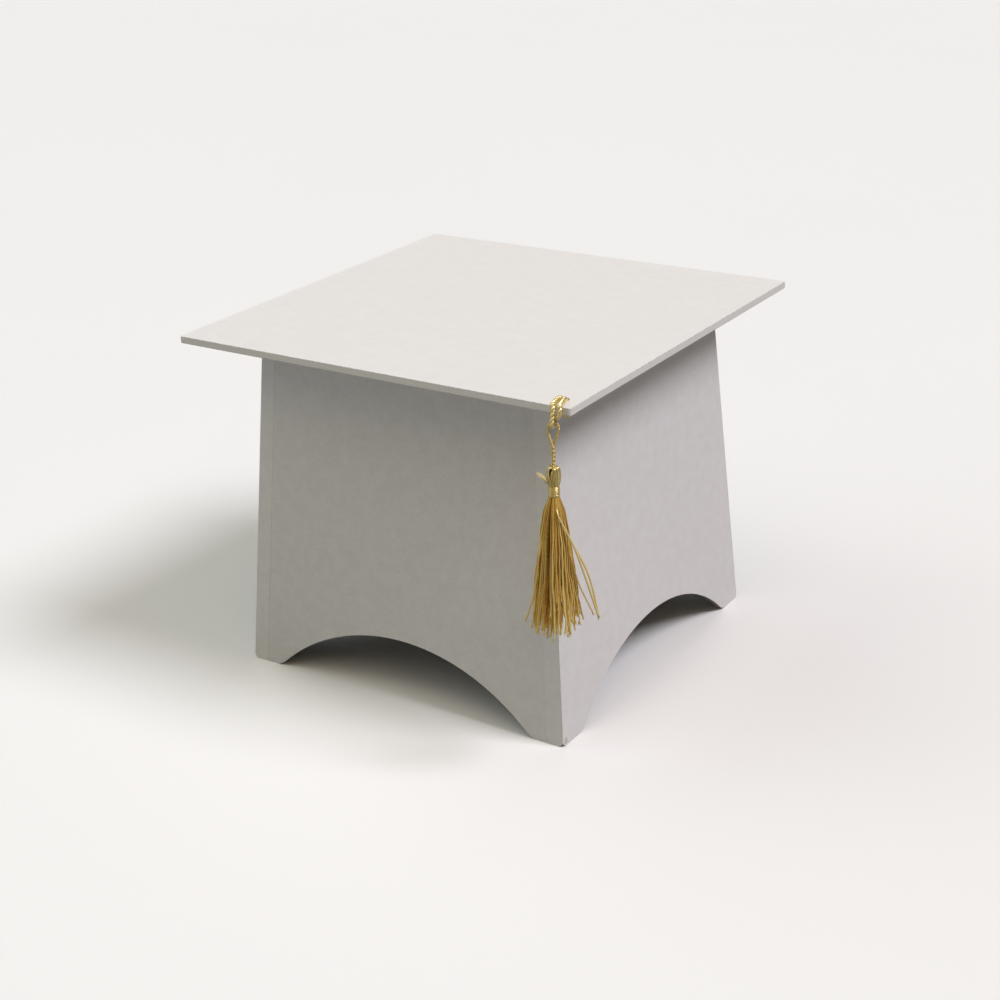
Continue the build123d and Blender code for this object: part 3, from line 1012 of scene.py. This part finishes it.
# %% Flake at the front foot
bm = bmesh.new()
bmesh.ops.create_grid(bm, x_segments=8, y_segments=10, size=1.0)
flake_height = 2.6 * mm
flake_place = Vector((foot_half - wall_lean * flake_height, -foot_half + 2.3 * mm, flake_height))
for v in bm.verts:
    across, up = v.co.x, v.co.y
    half_width = 0.75 - 0.35 * up + 0.12 * math.sin(5.0 * up + 1.0)
    curl = 0.05 + 0.32 * max(0.0, up) ** 2 + 0.10 * across ** 2
    v.co = flake_place + Vector((curl - wall_lean * up, across * half_width, 1.25 * up)) * mm
bmesh.ops.recalc_face_normals(bm, faces=bm.faces)
bmesh.ops.solidify(bm, geom=bm.faces[:], thickness=0.08 * mm)
flake = finished(bm, "foot_paper_flake", stay_paper)
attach(flake, "box")

# %% [markdown]
# ## Board corners
# The board's wrap is cut at its corners. The paper of the left and right edges is turned in
# last, and a narrow tab of it goes round each corner onto the front or back edge. The tab's
# cut end is a blunt point, and each tab was cut by hand to its own reach. It is a plate of
# a tenth of a millimetre: a flat grid, bent round the corner by moving its vertices.

# %% Corner tabs
def bent_round_corner(along, height, proud, across_front):
    """A point of a tab: along is the distance round the corner from its middle, positive
    onto the side edge. across_front is -1 for the front corners and 1 for the back."""
    radius = 1.0 * mm
    quarter = radius * math.pi / 4
    bend = Matrix.Rotation(max(-1.0, min(1.0, along / quarter)) * math.pi / 4, 3, "Z")
    beyond = max(0.0, abs(along) - quarter)
    out = bend @ Vector((1, -1, 0)).normalized()
    flow = bend @ Vector((1, 1, 0)).normalized()
    centre = Vector((board_half - radius, -(board_half - radius), 0))
    place = centre + out * (radius + proud) + flow * beyond * math.copysign(1, along)
    return Vector((place.x, place.y * -across_front, height))


def corner_tab(bm, mirror_x, across_front, reach, seed):
    """One tab. It reaches that far past the corner, and the seed makes its own ragged end."""
    own_random = random.Random(seed)
    columns, rows = 26, 10
    ragged = [own_random.uniform(-0.03, 0.03) * mm for _ in range(rows + 1)]
    tab_low, tab_high = board_low.z + 0.20 * mm, board_high.z - 0.16 * mm
    tab_end, fading, tab_thickness = 9.0 * mm, 6.0 * mm, 0.13 * mm
    sheet = bmesh.ops.create_grid(bm, x_segments=columns, y_segments=rows, size=1.0)["verts"]
    faces = list({f for v in sheet for f in v.link_faces})
    thick = bmesh.ops.extrude_face_region(bm, geom=faces)
    outer = {g for g in thick["geom"] if isinstance(g, bmesh.types.BMVert)}
    for v in [*sheet, *outer]:
        u, w = (v.co.x + 1) / 2, (v.co.y + 1) / 2
        point = 0.65 * mm * (1 - abs(2 * w - 0.9)) + ragged[round(w * rows)]
        start = -reach - point
        along = start + (tab_end - start) * u ** 1.7
        fade = max(0.0, min(1.0, (tab_end - along) / fading))
        proud = tab_thickness * fade + 0.004 * mm if v in outer else 0.0
        place = bent_round_corner(along, tab_low + (tab_high - tab_low) * w, proud, across_front)
        v.co = Vector((place.x * mirror_x, place.y, place.z))


bm = bmesh.new()
for number, (mirror_x, across_front, reach) in enumerate((
    (1, -1, 0.25 * mm), (-1, -1, 1.2 * mm), (1, 1, 1.0 * mm), (-1, 1, 0.8 * mm)
)):
    corner_tab(bm, mirror_x, across_front, reach, number)
bmesh.ops.recalc_face_normals(bm, faces=bm.faces)
tabs = finished(bm, "board_corner_tabs", board_paper, smooth=False)
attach(tabs, "lid")

# %% [markdown]
# ## Underside of the board
# The wrap is turned in by sixteen millimetres all round, and its four flaps meet in mitres.
# The side flaps went down last, so they lie over the others at the corners. Each flap is a
# thin plate with mitred ends.

# %% Turned-in flaps
turn_in = 16 * mm
lower_drop, upper_drop = 0.12 * mm, 0.07 * mm


def turned_in_flap(bm, turn, drop):
    """One flap, turned to its side of the board. The lower ones lap over the others."""
    outer, inner = board_half - 0.3 * mm, board_half - turn_in - 0.4 * mm
    over = 1.2 * mm if drop == lower_drop else 0.0
    corners = [(-outer, -outer), (outer, -outer), (inner + over, -inner), (-inner - over, -inner)]
    face = bm.faces.new([bm.verts.new((x, y, board_low.z)) for x, y in corners])
    thick = bmesh.ops.extrude_face_region(bm, geom=[face])
    moved = [g for g in thick["geom"] if isinstance(g, bmesh.types.BMVert)]
    bmesh.ops.translate(bm, verts=moved, vec=(0, 0, -drop))
    bmesh.ops.rotate(
        bm, verts=moved + list(face.verts), cent=(0, 0, 0), matrix=Matrix.Rotation(turn, 3, "Z")
    )


for name, turns, drop in (
    ("flaps_front_back", (0.0, math.pi), upper_drop),
    ("flaps_sides", (math.pi / 2, -math.pi / 2), lower_drop),
):
    bm = bmesh.new()
    for turn in turns:
        turned_in_flap(bm, turn, drop)
    bmesh.ops.recalc_face_normals(bm, faces=bm.faces)
    bmesh.ops.bevel(
        bm, geom=list(bm.edges), offset=0.02 * mm, affect="EDGES", segments=1, profile=0.5,
        material=-1,
    )
    flap = finished(bm, f"board_{name}", board_paper, smooth=False)
    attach(flap, "lid")

# %% [markdown]
# ## Rim of the cord hole
# A punch leaves the paper slightly raised round a hole. The rim is a quarter round, spun
# about the hole's axis.

# %% Hole rim
hole_place = from_corner(-7.0, 7.6, 0.0)
rim_outline = [(1.97, -0.25), (1.97, 0.03), (2.08, 0.07), (2.22, 0.05), (2.42, 0.002)]
bm = spun_outline([hole_place + Vector((r, 0, z)) * mm for r, z in rim_outline], hole_place, 36)
bmesh.ops.solidify(bm, geom=bm.faces[:], thickness=0.02 * mm)
rim = finished(bm, "cord_hole_rim", board_paper)
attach(rim, "lid")

# %% [markdown]
# ## Finishes of the CAD boards
# What is flat stays the CAD part, with the finish of its own material.

# %% CAD finishes
board_names = (
    "wall_board", "floor_ledge", "floor_board", "collar_strip", "mortarboard_core"
)
for name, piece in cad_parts.items():
    if piece.hide_render:
        continue
    if name.startswith(board_names):
        finish = pasteboard
    elif name.startswith("corner_stay"):
        finish = stay_paper
    elif name in ("mortarboard_wrap", "collar_wrap"):
        finish = board_paper
    else:
        finish = lining_paper
    piece.data.materials.clear()
    piece.data.materials.append(finish)
print("CAD parts that show:", sum(not p.hide_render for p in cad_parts.values()))

# %% [markdown]
# ## Floor
# A wide pale sheet of matt paper. Being wide, it fills the view behind the box as well. A
# white floor throws a lot of light back up and would wash out the shade under the board, so
# the light that it passes on to other things is that of a mid grey floor.

# %% Floor
bm = bmesh.new()
bmesh.ops.create_grid(bm, x_segments=8, y_segments=8, size=6.0)
floor_finish, tree, bsdf = new_finish("studio_floor")
cloud = add_node(tree, "ShaderNodeTexNoise", Scale=3.0, Detail=2.0)
put(tree, object_place(tree), cloud.inputs["Vector"])
seen_tone = blend_tones(tree, cloud.outputs["Fac"], (0.93, 0.93, 0.93), (0.95, 0.95, 0.95))
seen_by_camera = add_node(tree, "ShaderNodeLightPath").outputs["Is Camera Ray"]
floor_tone = blend_tones(tree, seen_by_camera, (0.30, 0.30, 0.29), seen_tone)
put(tree, floor_tone, bsdf.inputs["Base Color"])
bsdf.inputs["Roughness"].default_value = 0.9
mesh = bpy.data.meshes.new("studio_floor")
bm.to_mesh(mesh)
bm.free()
mesh.materials.append(floor_finish)
floor = bpy.data.objects.new("studio_floor", mesh)
bpy.context.scene.collection.objects.link(floor)
print("floor:", [round(side, 1) for side in floor.dimensions], "m")

# %% [markdown]
# ## Light
# A sun lamp lights the whole floor evenly, and its angle makes it as soft as wished. The
# key light is high on the right: it gives the top and the right wall their light and lays
# the board's soft shadow on the wall. The others are very wide and weak. They come from
# the front and the left, and are what the front wall, in the shade, is seen by. A wide
# warm one in front keeps the shade from going blue.

# %% Light
def soft_sun(name, azimuth, height, spread, strength, colour):
    """Angles are in degrees. The azimuth is 0 on the right and 90 behind the box."""
    data = bpy.data.lights.new(name, "SUN")
    data.angle = math.radians(spread)
    data.energy = strength
    data.color = colour
    around, above = math.radians(azimuth), math.radians(height)
    flat = Vector((math.cos(around), math.sin(around), 0))
    towards = flat * math.cos(above) + Vector((0, 0, math.sin(above)))
    light = bpy.data.objects.new(name, data)
    light.location = towards
    light.rotation_euler = (-towards).to_track_quat("-Z", "Y").to_euler()
    bpy.context.scene.collection.objects.link(light)


soft_sun("key", 11, 51.5, 24, 2.05, (0.925, 0.908, 0.985))
soft_sun("warm_front", -45, 60, 60, 0.70, (1.0, 0.83, 0.60))
soft_sun("low_left", -135, 30, 60, 0.49, (0.94, 1.0, 0.93))
soft_sun("left", 180, 45, 60, 0.75, (0.91, 1.0, 1.0))
soft_sun("overhead", 0, 90, 60, 0.17, (1.0, 0.94, 0.82))
print("lights:", [light.name for light in bpy.data.lights])

# %% [markdown]
# The world is pale where the camera sees it past the floor's edge, and nearly dark as a
# light. A Light Path node tells the two apart.

# %% World
world = bpy.data.worlds.new("studio")
world.use_nodes = True
sky = world.node_tree
pale = add_node(sky, "ShaderNodeBackground")
pale.inputs["Color"].default_value = (0.93, 0.93, 0.93, 1)
dark = sky.nodes["Background"]
dark.inputs["Color"].default_value = (0.98, 0.98, 1.0, 1)
dark.inputs["Strength"].default_value = 0.02
by_ray = add_node(sky, "ShaderNodeMixShader")
put(sky, add_node(sky, "ShaderNodeLightPath").outputs["Is Camera Ray"], by_ray.inputs[0])
put(sky, dark.outputs[0], by_ray.inputs[1])
put(sky, pale.outputs[0], by_ray.inputs[2])
put(sky, by_ray.outputs[0], sky.nodes["World Output"].inputs["Surface"])
bpy.context.scene.world = world
bpy.context.scene.view_settings.view_transform = "Standard"
